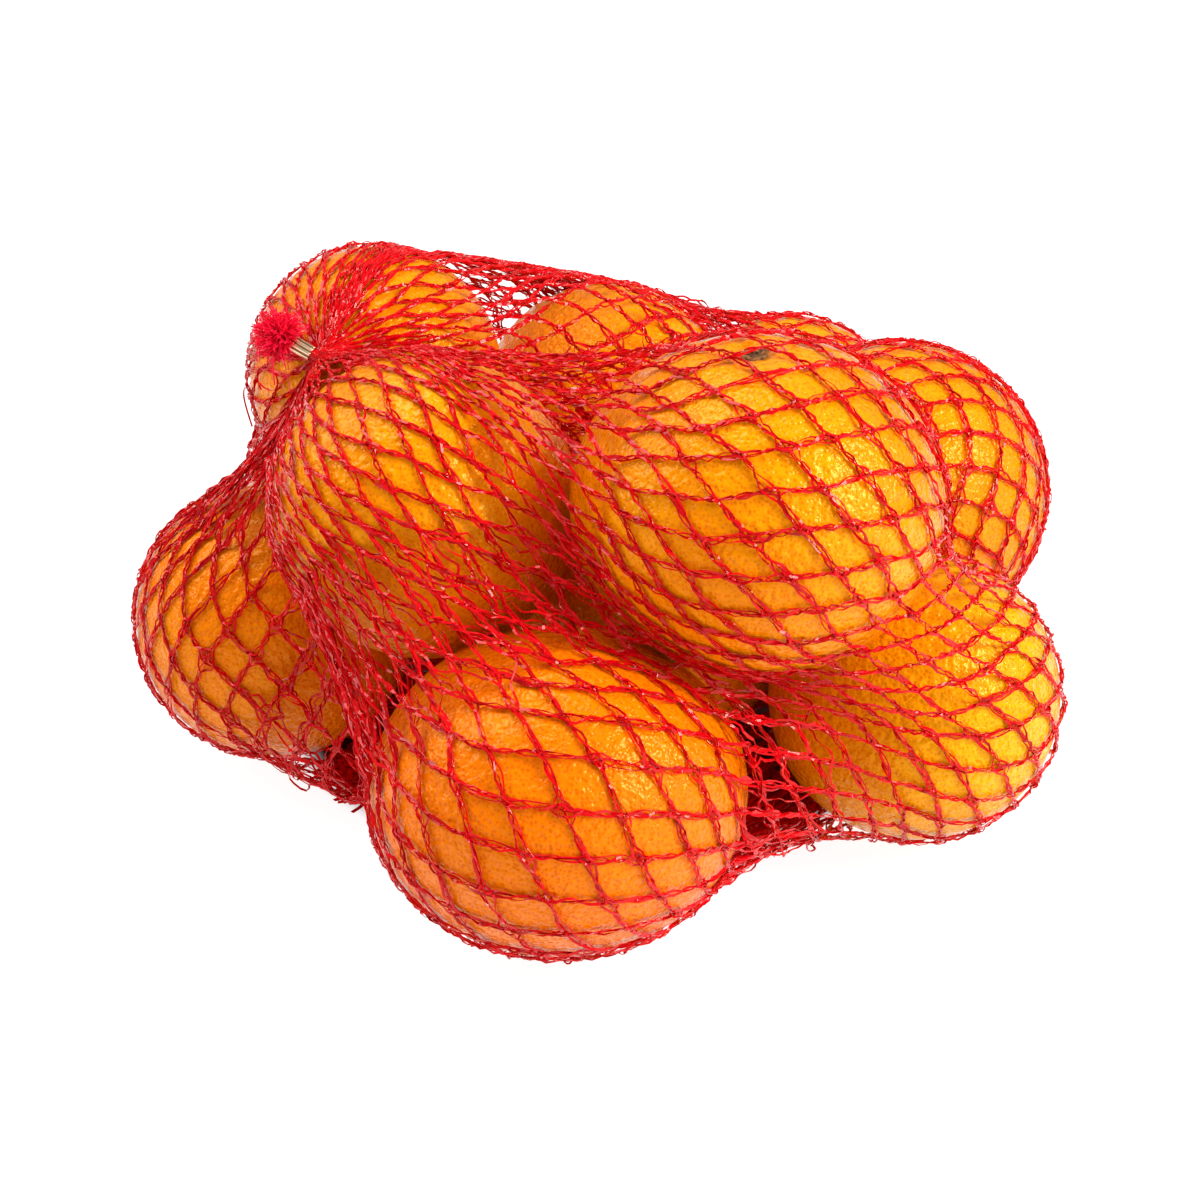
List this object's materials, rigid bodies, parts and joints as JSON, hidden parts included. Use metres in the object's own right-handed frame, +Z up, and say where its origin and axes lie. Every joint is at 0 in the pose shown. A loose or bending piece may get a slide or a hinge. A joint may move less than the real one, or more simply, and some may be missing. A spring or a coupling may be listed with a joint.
{
  "type": "net of oranges",
  "caption": "Oranges piled in a red knitted net bag, gathered and crimped shut with a small metal clip at each end.",
  "frame": {"origin": "middle of the bounding box's underside, on the floor that the pile rests on", "axes": "+Z up; the usual viewer stands at -Y; +X is to the viewer's right"},
  "size_m": [0.2169, 0.24, 0.1202],
  "materials": {
    "peel_in_net": "waxy orange peel with fine pores, under the net",
    "net_red": "shiny knitted plastic film yarn",
    "clip_brass": "brushed, with pressed ridges"
  },
  "bodies": {
    "root": {"net_bag": "peel_in_net", "clip": "clip_brass", "clip_far": "clip_brass", "net_tuft": "net_red", "net_tuft_far": "net_red"}
  },
  "joints": []
}
